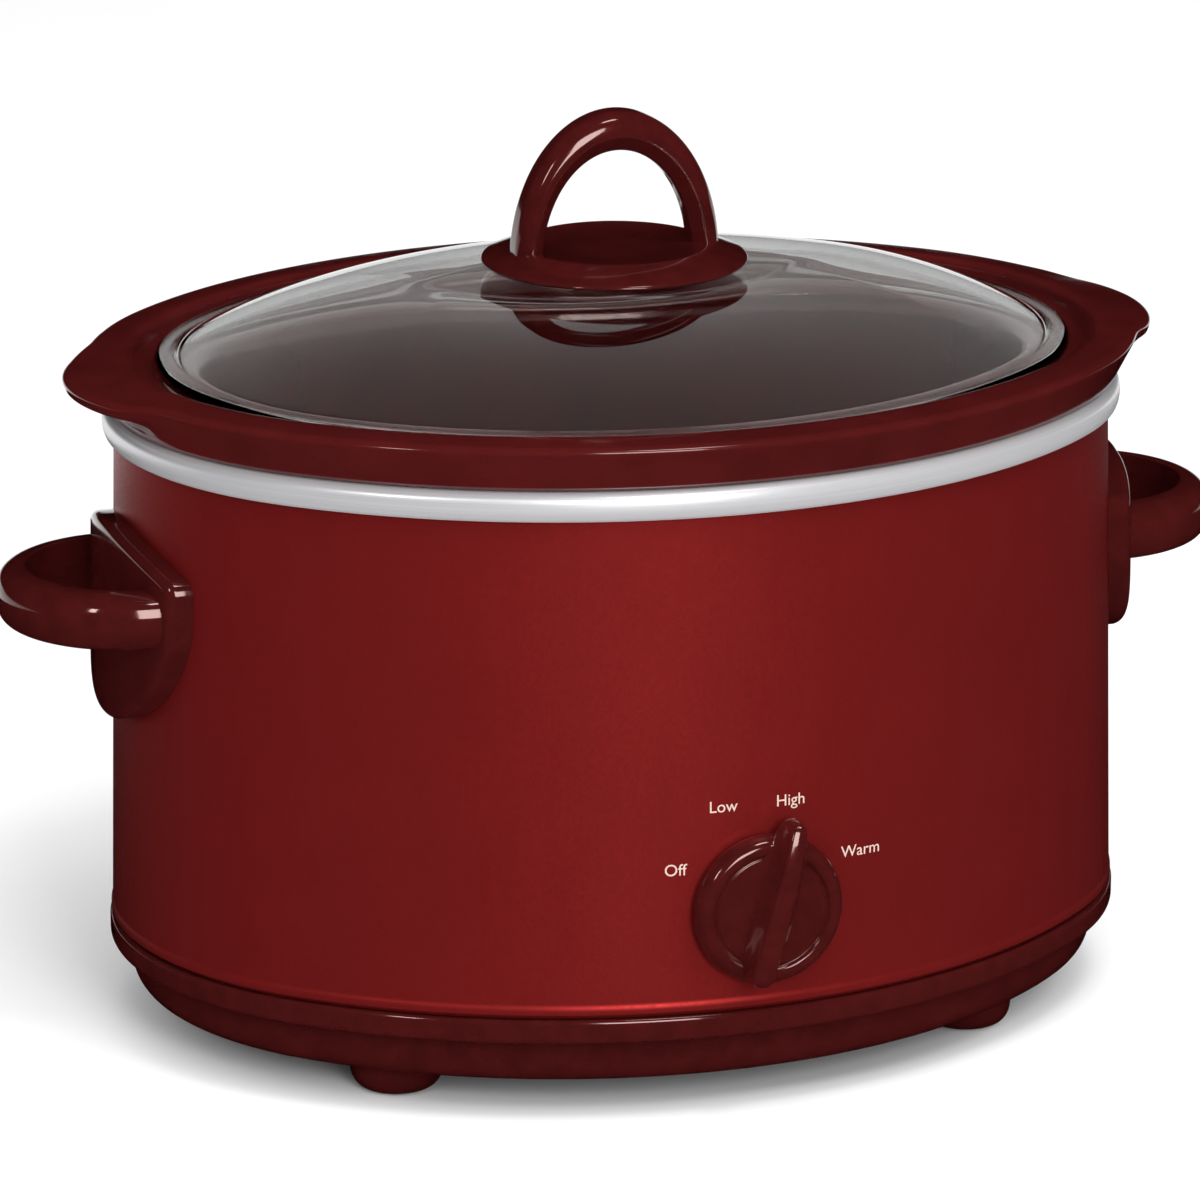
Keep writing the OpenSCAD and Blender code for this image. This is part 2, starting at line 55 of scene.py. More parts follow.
import bpy
import numpy as np
from mathutils import Vector

# ---------------------------------------------------------------------------------- main sizes

MM = 0.001
shell_lo, shell_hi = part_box("outer_shell")
AXIS_Y = (shell_lo.y + shell_hi.y) / 2
SEAM_Z = shell_lo.z / MM
HEM_OUT = 3.5  # how far the painted wall's hem stands out beyond the body oval
BODY_A = (shell_hi.x - shell_lo.x) / 2 / MM - HEM_OUT
BODY_B = (shell_hi.y - shell_lo.y) / 2 / MM - HEM_OUT
glass_lo, glass_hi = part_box("lid_glass")
LID_A = (glass_hi.x - glass_lo.x) / 2 / MM
LID_B = (glass_hi.y - glass_lo.y) / 2 / MM
GLASS_LOW, APEX_Z = glass_lo.z / MM, glass_hi.z / MM
well_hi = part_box("heating_well")[1]
BAND_HIGH = well_hi.z / MM
BAND_LOW = BAND_HIGH - 8.7  # lower edge of the rolled rim
FLARE = 2.9  # how much wider the painted wall is at the seam than under the rolled rim
SHEET = 0.8  # thickness of the painted wall and of the liner
CORE = -62.0  # offset of the innermost ring of a floor, closed by a flat cap
POLE = 0.8  # radius of the flat cap at the middle of a turned piece
joint = {j["name"]: j for j in frame["joints"]}["knob_turn"]
KNOB_X, KNOB_Z = joint["pos_m"][0] / MM, joint["pos_m"][2] / MM
PANEL_Y = (AXIS_Y - joint["pos_m"][1]) / MM
KNOB_REST = 15.0  # the grip's turn from upright, clockwise seen from the front
KNOB_GAP = 1.2  # from the painted wall to the knob's back


# ---------------------------------------------------------------------------------- geometry

class Oval:
    """Four tangent arcs that meet at 45 degrees. theta is the direction of the outward normal."""

    def __init__(self, a, b):
        self.c = (a - b) / (2 - math.sqrt(2))
        self.end_r = a - self.c
        self.side_r = self.end_r + math.sqrt(2) * self.c

    def at(self, theta, t):
        ct, st = np.cos(theta), np.sin(theta)
        end = np.abs(ct) >= np.abs(st)
        rad = np.where(end, self.end_r, self.side_r) + t
        return (np.where(end, np.sign(ct) * self.c, 0) + rad * ct,
                np.where(end, 0, -np.sign(st) * self.c) + rad * st)


BODY, LID = Oval(BODY_A, BODY_B), Oval(LID_A, LID_B)


def around(end_steps, side_steps):
    """Directions round an oval, denser along the long side arcs."""
    q = math.pi / 4
    out = []
    for k in range(4):
        steps = end_steps if k % 2 == 0 else side_steps
        out.append(np.linspace(2 * k * q - q, 2 * k * q + q, steps, endpoint=False))
    return np.concatenate(out)


THETA = around(56, 72)


def rounded(points, seg=6, closed=False):
    """A polyline of (x, y, fillet length) with each corner eased by a short curve."""
    p = np.array([q[:2] for q in points], float)
    r = [q[2] if len(q) > 2 else 0 for q in points]
    n, out = len(p), []
    for i in range(n):
        if r[i] <= 0 or (not closed and i in (0, n - 1)):
            out.append(p[i])
            continue
        a, b = p[i - 1] - p[i], p[(i + 1) % n] - p[i]
        la, lb = np.linalg.norm(a), np.linalg.norm(b)
        d = min(r[i], 0.48 * la, 0.48 * lb)
        s, e = p[i] + a / la * d, p[i] + b / lb * d
        for u in np.linspace(0, 1, seg + 1):
            out.append((1 - u) ** 2 * s + 2 * u * (1 - u) * p[i] + u ** 2 * e)
    return np.array(out)


def place(v):
    """Millimetres from the body oval's axis, as metres in the frame."""
    v = np.asarray(v, float).reshape(-1, 3) * MM
    v[:, 1] += AXIS_Y
    return v


def make(name, verts, faces, uvs=None, sharp=38.0, placed=False):
    """A mesh object from millimetres, its faces turned outward, smooth apart from sharp edges."""
    v = np.asarray(verts, float) if placed else place(verts)
    vol = 0.0
    for f in faces:
        a = v[f[0]]
        for j in range(1, len(f) - 1):
            vol += a @ np.cross(v[f[j]], v[f[j + 1]])
    if vol < 0:
        faces = [tuple(reversed(f)) for f in faces]
        uvs = [list(reversed(q)) for q in uvs] if uvs else None
    mesh = bpy.data.meshes.new(name)
    mesh.from_pydata(v.tolist(), [], [tuple(int(i) for i in f) for f in faces])
    if uvs:
        layer = mesh.uv_layers.new(name="UVMap")
        layer.data.foreach_set("uv", np.array([c for q in uvs for c in q], float).ravel())
    mesh.update()
    ob = bpy.data.objects.new(name, mesh)
    bpy.context.scene.collection.objects.link(ob)
    smooth(ob, sharp)
    return ob


def smooth(ob, sharp):
    """Smooth shading apart from edges that turn by more than the given degrees."""
    ob.data.polygons.foreach_set("use_smooth", [True] * len(ob.data.polygons))
    ob.data.set_sharp_from_angle(angle=math.radians(sharp))
    ob.data.update()


def ring_mesh(rings, closed_profile):
    """Faces and UVs of n rings of k points each; the rings close on themselves."""
    n, k = rings.shape[:2]
    faces, uvs = [], []
    step = np.linalg.norm(rings[:, 0] - np.roll(rings[:, 0], -1, 0), axis=1)
    u = np.concatenate([[0], np.cumsum(step)]) * MM
    along = np.linalg.norm(np.diff(rings[0], axis=0), axis=1)
    w = np.concatenate([[0], np.cumsum(along)]) * MM
    w = np.append(w, w[-1] + np.linalg.norm(rings[0, -1] - rings[0, 0]) * MM)
    last = k if closed_profile else k - 1
    for i in range(n):
        i2 = (i + 1) % n
        for j in range(last):
            j2 = (j + 1) % k
            faces.append((i * k + j, i2 * k + j, i2 * k + j2, i * k + j2))
            uvs.append([(u[i], w[j]), (u[i + 1], w[j]), (u[i + 1], w[j + 1]), (u[i], w[j + 1])])
    return faces, uvs


def sweep(name, oval, profile, theta=THETA, caps=False, sharp=38.0):
    """Carries a profile of (offset, height) round an oval. A profile that varies has one row a step."""
    profile = np.asarray(profile, float)
    if profile.ndim == 2:
        profile = np.repeat(profile[None], len(theta), 0)
    n, k = profile.shape[:2]
    x, y = oval.at(theta[:, None], profile[:, :, 0])
    rings = np.stack([x, y, profile[:, :, 1]], -1)
    faces, uvs = ring_mesh(rings, not caps)
    if caps:
        end_caps(rings, faces, uvs)
    return make(name, rings.reshape(-1, 3), faces, uvs, sharp)


def tube_mesh(name, rows, sharp=38.0, placed=False):
    """A closed tube through rows of a closed section, with a flat face at each end."""
    n, k = rows.shape[:2]
    faces = [(i * k + j, (i + 1) * k + j, (i + 1) * k + (j + 1) % k, i * k + (j + 1) % k)
             for i in range(n - 1) for j in range(k)]
    faces += [tuple(range(k)), tuple(reversed([(n - 1) * k + j for j in range(k)]))]
    return make(name, rows.reshape(-1, 3), faces, sharp=sharp, placed=placed)


def end_caps(rings, faces, uvs):
    """Closes the first and last rows of rings whose profile is open."""
    n, k = rings.shape[:2]
    for j in (0, k - 1):
        loop = [i * k + j for i in range(n)]
        faces.append(tuple(loop if j == k - 1 else reversed(loop)))
        uvs.append([tuple(rings[m // k, j, :2] * MM) for m in faces[-1]])


def lathe_data(profile, n=128):
    """Rings of an open profile of (radius, height) turned about z, with both ends capped."""
    q = np.asarray(profile, float)
    th = np.linspace(0, 2 * math.pi, n, endpoint=False)
    rings = np.stack([q[None, :, 0] * np.cos(th)[:, None], q[None, :, 0] * np.sin(th)[:, None],
                      np.repeat(q[None, :, 1], n, 0)], -1)
    faces, uvs = ring_mesh(rings, False)
    end_caps(rings, faces, uvs)
    return rings.reshape(-1, 3), faces, uvs


def combine(ob, other, operation, sharp=38.0):
    """Joins, cuts or crosses two closed meshes, keeping the result as plain mesh."""
    mod = ob.modifiers.new("combine", "BOOLEAN")
    mod.operation, mod.object, mod.solver = operation, other, "EXACT"
    bpy.context.view_layer.update()
    dg = bpy.context.evaluated_depsgraph_get()
    mesh = bpy.data.meshes.new_from_object(ob.evaluated_get(dg))
    ob.modifiers.clear()
    ob.data = mesh
    mesh.name = ob.name
    bpy.data.objects.remove(other)
    smooth(ob, sharp)
    return ob


def smoothstep(x):
    """An S-shaped rise from 0 to 1."""
    x = np.clip(x, 0, 1)
    return x * x * (3 - 2 * x)


def wall_t(z):
    """Offset of the painted wall's outer face from the body oval."""
    return FLARE * (BAND_LOW - z) / (BAND_LOW - SEAM_Z)


# ---------------------------------------------------------------------------------- materials

class Nodes:
    """A small helper that builds one node tree."""

    def __init__(self, name):
        self.mat = bpy.data.materials.new(name)
        self.mat.use_nodes = True
        self.tree = self.mat.node_tree
        self.tree.nodes.clear()
        self.out = self.add("ShaderNodeOutputMaterial")
        self.bsdf = self.add("ShaderNodeBsdfPrincipled")
        self.link(self.bsdf.outputs[0], self.out.inputs["Surface"])
        self.coord = self.add("ShaderNodeTexCoord")

    def add(self, kind, **settings):
        node = self.tree.nodes.new(kind)
        for key, value in settings.items():
            setattr(node, key, value)
        return node

    def link(self, a, b):
        self.tree.links.new(a, b)

    def set(self, **values):
        for key, value in values.items():
            self.bsdf.inputs[key.replace("_", " ")].default_value = value

    def noise(self, scale, detail=3.0, roughness=0.55, stretch=None, source="Object"):
        tex = self.add("ShaderNodeTexNoise")
        tex.inputs["Scale"].default_value = scale
        tex.inputs["Detail"].default_value = detail
        tex.inputs["Roughness"].default_value = roughness
        vec = self.coord.outputs[source]
        if stretch:
            mapping = self.add("ShaderNodeMapping")
            mapping.inputs["Scale"].default_value = stretch
            self.link(vec, mapping.inputs["Vector"])
            vec = mapping.outputs["Vector"]
        self.link(vec, tex.inputs["Vector"])
        return tex.outputs["Fac"]

    def ramp(self, fac, stops):
        node = self.add("ShaderNodeValToRGB")
        while len(node.color_ramp.elements) < len(stops):
            node.color_ramp.elements.new(0.5)
        for element, (pos, colour) in zip(node.color_ramp.elements, stops):
            element.position = pos
            element.color = (*colour, 1) if len(colour) == 3 else colour
        self.link(fac, node.inputs["Fac"])
        return node.outputs["Color"]

    def span(self, fac, low, high):
        node = self.add("ShaderNodeMapRange")
        node.inputs["From Min"].default_value = 0.3
        node.inputs["From Max"].default_value = 0.7
        node.inputs["To Min"].default_value = low
        node.inputs["To Max"].default_value = high
        self.link(fac, node.inputs["Value"])
        return node.outputs["Result"]

    def mix(self, fac, a, b, blend="MIX"):
        node = self.add("ShaderNodeMix", data_type="RGBA", blend_type=blend)
        for value, socket in ((fac, 0), (a, 6), (b, 7)):
            if hasattr(value, "links"):
                self.link(value, node.inputs[socket])
            else:
                node.inputs[socket].default_value = value
        return node.outputs[2]

    def colour(self, socket):
        self.link(socket, self.bsdf.inputs["Base Color"])

    def rough(self, socket):
        self.link(socket, self.bsdf.inputs["Roughness"])

    def bump(self, height, distance, strength):
        node = self.add("ShaderNodeBump")
        node.inputs["Strength"].default_value = strength
        node.inputs["Distance"].default_value = distance
        self.link(height, node.inputs["Height"])
        self.link(node.outputs["Normal"], self.bsdf.inputs["Normal"])


def paint_material():
    m = Nodes("metallic_red_enamel")
    m.set(Metallic=0.72, Specular_IOR_Level=0.12)
    flakes = m.noise(5200, 2, 0.7)
    mottle = m.noise(60, 4, 0.6, (1, 1, 0.5))
    base = m.ramp(flakes, [(0.3, (0.225, 0.0125, 0.0125)), (0.7, (0.320, 0.0200, 0.0195))])
    shade = m.ramp(mottle, [(0.25, (0.90, 0.90, 0.90)), (0.75, (1.0, 1.0, 1.0))])
    m.colour(m.mix(1.0, base, shade, "MULTIPLY"))
    m.rough(m.span(m.noise(900, 3), 0.36, 0.46))
    m.bump(m.noise(1600, 3), 0.00002, 0.5)
    return m.mat


def plastic_material(name, dark=(0.034, 0.0036, 0.0036), light=(0.046, 0.0048, 0.0047)):
    m = Nodes(name)
    m.set(Specular_IOR_Level=0.55, Specular_Tint=(1.0, 0.62, 0.58, 1), Coat_Weight=0.3,
          Coat_Roughness=0.05)
    m.colour(m.ramp(m.noise(140, 3), [(0.3, dark), (0.7, light)]))
    m.rough(m.span(m.noise(420, 4), 0.07, 0.12))
    m.bump(m.noise(260, 2), 0.00002, 0.3)
    return m.mat


def glaze_material():
    m = Nodes("oxblood_glaze")
    m.set(Specular_IOR_Level=0.45, Specular_Tint=(1.0, 0.66, 0.62, 1), Coat_Weight=0.3,
          Coat_Roughness=0.04)
    cloud = m.noise(38, 5, 0.6)
    base = m.ramp(cloud, [(0.3, (0.044, 0.0042, 0.0044)), (0.7, (0.062, 0.0060, 0.0060))])
    specks = m.ramp(m.noise(1500, 2, 0.8), [(0.66, (1, 1, 1)), (0.76, (0.62, 0.55, 0.55))])
    m.colour(m.mix(1.0, base, specks, "MULTIPLY"))
    m.rough(m.span(m.noise(120, 4), 0.08, 0.16))
    m.bump(m.noise(70, 3), 0.00018, 0.35)
    return m.mat


def steel_material(name, base=(0.80, 0.80, 0.82), low=0.26, high=0.38, brushed=True):
    m = Nodes(name)
    m.set(Metallic=1.0)
    source, stretch = ("UV", (12, 1600, 1)) if brushed else ("Object", (1, 1, 1))
    lines = m.noise(1.0 if brushed else 500, 3, 0.6, stretch, source)
    dim = tuple(0.90 * c for c in base)
    m.colour(m.ramp(lines, [(0.3, dim), (0.7, base)]))
    m.rough(m.span(lines, low, high))
    m.bump(lines, 0.00001, 0.35)
    return m.mat


def glass_material():
    m = Nodes("tempered_glass")
    m.set(Transmission_Weight=1.0, IOR=1.36, Specular_IOR_Level=0.5)
    m.colour(m.ramp(m.noise(20, 2), [(0.3, (0.955, 0.975, 0.965)), (0.7, (0.975, 0.985, 0.980))]))
    m.rough(m.span(m.noise(45, 3), 0.0, 0.012))
    m.bump(m.noise(26, 2), 0.00006, 0.15)
    return m.mat


def dull_material(name, dark, light, low=0.45, high=0.62, scale=260, depth=0.00005):
    m = Nodes(name)
    m.colour(m.ramp(m.noise(scale, 4), [(0.3, dark), (0.7, light)]))
    m.rough(m.span(m.noise(scale * 2.3, 3), low, high))
    m.bump(m.noise(scale * 1.7, 4), depth, 0.5)
    return m.mat


def wool_material():
    m = Nodes("needled_glass_fibre")
    m.colour(m.ramp(m.noise(300, 6, 0.7), [(0.3, (0.70, 0.70, 0.66)), (0.7, (0.88, 0.88, 0.86))]))
    m.rough(m.span(m.noise(700, 3), 0.85, 1.0))
    m.bump(m.noise(900, 5, 0.8), 0.0006, 0.8)
    return m.mat


PLASTIC = plastic_material("dark_red_plastic")
PAINT = paint_material()
GLAZE = glaze_material()
BAND_STEEL = steel_material("satin_rolled_rim", (0.80, 0.79, 0.81), 0.28, 0.38)
BAND_STEEL.node_tree.nodes["Principled BSDF"].inputs["Metallic"].default_value = 0.62
ZINC = steel_material("zinc_plated_steel", (0.62, 0.63, 0.65), 0.32, 0.48, False)
GLASS = glass_material()
SLOT_MATERIAL = {
    "body_paint": PAINT, "red_plastic": PLASTIC, "liner_steel": BAND_STEEL, "zinc_steel": ZINC,
    "stoneware": GLAZE, "lid_clear": GLASS,
    "black_rubber": dull_material("black_rubber", (0.012, 0.012, 0.012), (0.024, 0.024, 0.025)),
    "silicone": dull_material("grey_silicone", (0.09, 0.09, 0.09), (0.13, 0.13, 0.13)),
    "mica_band": dull_material("mica_paper", (0.38, 0.30, 0.20), (0.60, 0.50, 0.36), 0.5, 0.8, 90),
    "fibre_wool": wool_material(),
    "switch_plastic": dull_material("ivory_phenolic", (0.70, 0.66, 0.56), (0.80, 0.76, 0.66)),
    "white_ceramic": dull_material("white_ceramic", (0.76, 0.75, 0.71), (0.86, 0.85, 0.81), 0.2, 0.35),
    "wire_black": dull_material("black_insulation", (0.02, 0.02, 0.02), (0.035, 0.035, 0.035), 0.3, 0.45),
    "wire_white": dull_material("white_insulation", (0.72, 0.72, 0.72), (0.84, 0.84, 0.84), 0.3, 0.45),
    "wire_red": dull_material("red_insulation", (0.50, 0.03, 0.02), (0.62, 0.05, 0.04), 0.3, 0.45),
    "wire_blue": dull_material("blue_insulation", (0.03, 0.08, 0.40), (0.05, 0.12, 0.52), 0.3, 0.45),
    "turned_brass": steel_material("turned_brass", (0.80, 0.60, 0.28), 0.22, 0.38, False),
    "plate_aluminium": steel_material("blank_foil_plate", (0.80, 0.81, 0.82), 0.28, 0.42, False),
}
SLOT_OF = {s["node"]: s["material_slot"] for s in frame["record"]["subparts"]}


def finish_piece(ob, body, material, nodes=()):
    """Gives a piece its material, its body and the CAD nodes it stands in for."""
    ob.data.materials.clear()
    ob.data.materials.append(material)
    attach(ob, body)
    if nodes:
        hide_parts(*nodes)
    return ob


for node_name, ob in frame["nodes"].items():
    ob.data.materials.clear()
    ob.data.materials.append(SLOT_MATERIAL[SLOT_OF[node_name]])

# ---------------------------------------------------------------------------------- the base

low_t = wall_t(SEAM_Z + 2)
shell = sweep("painted_wall", BODY, rounded([
    (-4, SEAM_Z, 0.2), (1.6, SEAM_Z, 0.2), (2.2, SEAM_Z + 1.0, 0.3), (HEM_OUT - 0.2, SEAM_Z + 1.3, 0.4),
    (HEM_OUT - 0.2, SEAM_Z + 3.0, 0.6), (low_t, SEAM_Z + 4.2, 0.5), (0, BAND_LOW, 0),
    (0, BAND_LOW + 2.5, 0.2), (-SHEET, BAND_LOW + 2.5, 0.2), (-SHEET, BAND_LOW, 0),
    (low_t - SHEET, SEAM_Z + 4.2, 0.4), (low_t - SHEET, SEAM_Z + SHEET, 0.2), (-4, SEAM_Z + SHEET, 0.2),
], closed=True))
finish_piece(shell, "base", PAINT, ["outer_shell"])

liner_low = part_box("heating_well")[0].z / MM
liner = sweep("rolled_rim_liner", BODY, rounded([
    (CORE, liner_low + 0.8, 0), (-33, liner_low + 1.2, 6), (-27.3, 57.6, 4), (-22.4, 67.8, 5),
    (-20.5, 85, 8), (-14.5, 180.8, 2.5), (-12.6, BAND_HIGH - 1.6, 1.6), (-8, BAND_HIGH - 0.1, 2),
    (1.0, BAND_HIGH, 1.8), (3.1, BAND_HIGH - 1.7, 1.8), (3.4, BAND_HIGH - 4.2, 2.0),
    (3.3, BAND_LOW + 2.4, 1.2), (2.5, BAND_LOW + 0.3, 1.0), (0.4, BAND_LOW, 0.3),
    (0.4, BAND_LOW + 0.8, 0.2), (2.0, BAND_LOW + 1.2, 0.8), (2.6, BAND_HIGH - 4.2, 1.6),
    (2.0, BAND_HIGH - 1.4, 1.2), (0.6, BAND_HIGH - 0.8, 1), (-7.6, BAND_HIGH - 0.9, 1.5),
    (-12.0, BAND_HIGH - 2.4, 1.4), (-13.7, 180.8, 2), (-19.7, 85, 8), (-21.6, 67.4, 5),
    (-26.6, 57, 4), (-32.6, liner_low + 0.5, 6), (CORE, liner_low, 0),
]), caps=True)
finish_piece(liner, "base", BAND_STEEL, ["heating_well"])

PAN_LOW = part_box("base_pan")[0].z / MM
pan = sweep("base_pan_moulding", BODY, rounded([
    (CORE, PAN_LOW, 0), (-9.4, PAN_LOW, 3.5), (-5.4, 11.2, 2.5), (-3.0, 14.6, 3), (-2.4, 18.5, 3),
    (-3.2, 24.0, 0.8), (-2.0, 24.5, 0.6), (3.1, 24.5, 0.7), (3.7, 25.6, 0.7), (3.7, SEAM_Z - 0.9, 0.5),
    (3.1, SEAM_Z - 0.05, 0.4), (-3.9, SEAM_Z - 0.05, 0.2), (-4, 18.9, 1.5), (-5.8, 15.2, 1.5), (-8, 13, 1.5),
    (-11, PAN_LOW + 2.5, 1.5), (CORE, PAN_LOW + 2.5, 0),
]), caps=True)


def slot_cutter(name, spots, half_x, half_y, z_low, z_high):
    """Upright round-ended slots of the given half sizes, one at each spot."""
    verts, faces = [], []
    for x, y in spots:
        outline = [(x + half_x * math.cos(a), y + math.copysign(half_y - half_x, math.sin(a) or 1)
                    + half_x * math.sin(a)) for a in np.linspace(0, 2 * math.pi, 20, endpoint=False)]
        base = len(verts)
        n = len(outline)
        verts += [(px, py, z_low) for px, py in outline] + [(px, py, z_high) for px, py in outline]
        faces.append(tuple(base + n - 1 - i for i in range(n)))
        faces.append(tuple(base + n + i for i in range(n)))
        faces += [(base + i, base + (i + 1) % n, base + n + (i + 1) % n, base + n + i) for i in range(n)]
    return make(name, verts, faces)


vents = [(i * 8, s * 34) for i in range(-5, 6) for s in (-1, 1)]
combine(pan, slot_cutter("vent_cutter", vents, 1.5, 10, PAN_LOW - 2, PAN_LOW + 6), "DIFFERENCE")
SCREW_R, SCREW_TURN = 79.0, math.radians(40)  # the base screws' places round each end of the pan
screw_spots = [(s * (BODY.c + SCREW_R * math.cos(SCREW_TURN)), t * SCREW_R * math.sin(SCREW_TURN))
               for s in (-1, 1) for t in (-1, 1)]
combine(pan, slot_cutter("screw_cutter", screw_spots, 3.7, 3.7001, PAN_LOW - 2, PAN_LOW + 2.1), "DIFFERENCE")
finish_piece(pan, "base", PLASTIC, ["base_pan"])

for side in ("front_left", "front_right", "back_left", "back_right"):
    lo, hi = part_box("foot_" + side)
    cx, cy, top = (lo.x + hi.x) / 2 / MM, ((lo.y + hi.y) / 2 - AXIS_Y) / MM, PAN_LOW
    v, f, uv = lathe_data(rounded([
        (POLE, 0, 0), (8, 0, 1.5), (11.2, 1.1, 1.5), (12.9, 3.4, 1.5), (13.5, 6.6, 1.2), (13.5, top, 0),
        (4, top, 0.2), (4, 12.2, 0.2), (4.9, 12.3, 0.3), (4.3, 14, 0.5), (POLE, 14, 0)]), 96)
    foot = make("foot_pad_" + side, v + np.array([cx, cy, 0]), f, uv)
    finish_piece(foot, "base", PLASTIC, ["foot_" + side])


# ---------------------------------------------------------------------------------- side handles

def plate_outline(n=40):
    """Outline of a back plate in (y, z): an elliptic lower end, rounded corners, sloping shoulders."""
    half, wide_z, low_z, top_z = 41.3, 137.5, 99, 157.5
    lower = [(half * math.cos(a), wide_z + (wide_z - low_z) * math.sin(a))
             for a in np.linspace(math.pi, 2 * math.pi, n)]
    upper = rounded([(half, wide_z), (half, 147.5, 7), (24, 153.6, 14), (0, top_z, 10), (-24, 153.6, 14),
                     (-half, 147.5, 7), (-half, wide_z)], 10)
    return np.array(lower + upper[1:-1].tolist())


def handle_plate(name):
    """A plate that hugs the wall, with its outer edge rounded over."""
    line = plate_outline()
    edge = np.roll(line, -1, 0) - np.roll(line, 1, 0)
    normal = np.stack([-edge[:, 1], edge[:, 0]], 1) / np.linalg.norm(edge, axis=1)[:, None]
    centre = np.array([0, 131.0])
    if ((centre - line) * normal).sum() < 0:
        normal = -normal
    thick, r = 6.6, 2.4
    steps = [(0, 0.1)] + [(r * (1 - math.cos(a)), thick - r + r * math.sin(a))
                          for a in np.linspace(0, math.pi / 2, 8)]
    rings = [(line + normal * inset, h) for inset, h in steps]
    inner = line + normal * r
    rings += [(centre + (inner - centre) * s, thick) for s in np.linspace(1, 0, 12)[1:-1]]
    back = [(centre + (line - centre) * s, 0.1) for s in np.linspace(0, 1, 12)[1:-1]]
    rings = back + rings
    verts = []
    for ring, h in rings:
        y, z = ring[:, 0], ring[:, 1]
        rad = BODY.end_r + wall_t(z) + h
        verts.append(np.stack([BODY.c + np.sqrt(rad ** 2 - y ** 2), y, z], 1))
    k, n = len(verts), len(line)
    flat = np.concatenate(verts)
    faces = [(a * n + i, a * n + (i + 1) % n, (a + 1) * n + (i + 1) % n, (a + 1) * n + i)
             for a in range(k - 1) for i in range(n)]
    for ring_index, h in ((0, 0.1), (k - 1, thick)):
        rad = BODY.end_r + wall_t(centre[1]) + h
        flat = np.vstack([flat, [[BODY.c + rad, 0, centre[1]]]])
        tip = len(flat) - 1
        o = ring_index * n
        faces += [(tip, o + (i + 1) % n, o + i) if ring_index == 0 else (tip, o + i, o + (i + 1) % n)
                  for i in range(n)]
    return make(name, flat, faces, sharp=50)


def grip_loop(name):
    """The half-ring grip, D-shaped in section, flat inside."""
    lo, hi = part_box("handle_right")
    outer = 38.5
    cx = hi.x / MM - outer
    section = rounded([(29.5, 127.3, 0.7), (33.6, 127.0, 2.5), (36.9, 128.7, 3), (38.5, 132.6, 4),
                       (38.5, 137.6, 4), (37.0, 141.6, 3.6), (33.8, 143.6, 3), (29.5, 144.0, 0.7)], 8, True)
    th = np.linspace(-math.pi / 2, math.pi / 2, 97)
    rings = np.stack([cx + section[None, :, 0] * np.cos(th)[:, None],
                      section[None, :, 0] * np.sin(th)[:, None],
                      np.repeat(section[None, :, 1], len(th), 0)], -1)
    return tube_mesh(name, rings, 50)


for side, sign in (("right", 1), ("left", -1)):
    grip = combine(handle_plate("side_handle_" + side), grip_loop("loop"), "UNION", 40)
    if sign < 0:
        co = np.array([v.co for v in grip.data.vertices])
        co[:, 0] *= -1
        co[:, 1] = 2 * AXIS_Y - co[:, 1]
        grip.data.vertices.foreach_set("co", co.ravel())
        grip.data.update()
    finish_piece(grip, "base", PLASTIC, ["handle_" + side])


# ---------------------------------------------------------------------------------- control knob

DIAL_Z = 4.8  # the flat dial's height above the knob's back
GRIP_ROWS = np.array([  # along the grip, half width at the foot, half width of the crest, crest height
    (-21.0, 0.2, 0.15, 4.6), (-20.8, 1.5, 1.2, 5.6), (-20.2, 2.9, 2.2, 6.5), (-19.0, 4.0, 3.1, 7.2),
    (-16.5, 5.2, 3.3, 7.5), (-9.0, 6.9, 3.3, 7.7), (3.0, 7.7, 3.2, 7.9), (12.0, 7.2, 2.9, 7.7),
    (18.0, 6.3, 2.6, 7.0), (23.0, 4.6, 2.6, 6.1), (25.6, 3.4, 2.2, 5.3), (26.8, 2.3, 1.5, 4.6),
    (27.3, 1.2, 0.8, 4.0), (27.5, 0.2, 0.15, 3.5)])


def knob_shape():
    """The knob lying on its back: +z is outward, +y along the grip."""
    v, f, uv = lathe_data(rounded([
        (POLE, 3, 0), (17.2, 3, 0.5), (17.4, 0.2, 0.4), (18, 0, 0.2), (21.4, 0, 0.5), (22, 0.6, 0.4),
        (22, 2.2, 0.8), (21.2, 4.2, 1.2), (19.4, 5.6, 1.2), (17.3, 5.4, 0.6), (16.6, 4.5, 0.25),
        (16.2, 4.5, 0.25), (15.8, DIAL_Z, 0.3), (POLE, DIAL_Z, 0)], 8), 144)
    disc = make("control_dial", v, f, uv, placed=True)
    along = np.concatenate([[-21.0, -20.95, -20.8, -20.5, -20.0], np.linspace(-19.2, 25.6, 60),
                            [26.2, 26.8, 27.15, 27.4, 27.5]])
    foot, crest, high = (np.interp(along, GRIP_ROWS[:, 0], GRIP_ROWS[:, i]) for i in (1, 2, 3))
    kernel = np.array([1, 2, 3, 2, 1]) / 9.0
    for line in (foot, crest, high):
        line[7:-7] = np.convolve(line, kernel, "same")[7:-7]
    rows = []
    for y, w0, w1, h in zip(along, foot, crest, high):
        r = min(1.2, 0.8 * w1)
        side = [(w0, -1.2)]
        for q in np.linspace(0, 1, 12):  # a hollow flank that steepens towards the crest
            side.append((w0 + (w1 - w0) * q ** 0.62, (h - r) * q))
        for a in np.linspace(0, math.pi / 2, 7)[1:]:  # the crest's rounded edge
            side.append((w1 - r * (1 - math.cos(a)), h - r + r * math.sin(a)))
        side.append((0.45 * (w1 - r), h + 0.12 * w1))  # the crest is slightly crowned
        left = [(-w, y, DIAL_Z + z) for w, z in side]
        right = [(w, y, DIAL_Z + z) for w, z in side[::-1]]
        rows.append(left + right)
    return combine(disc, tube_mesh("grip", np.array(rows), placed=True), "UNION", 42)


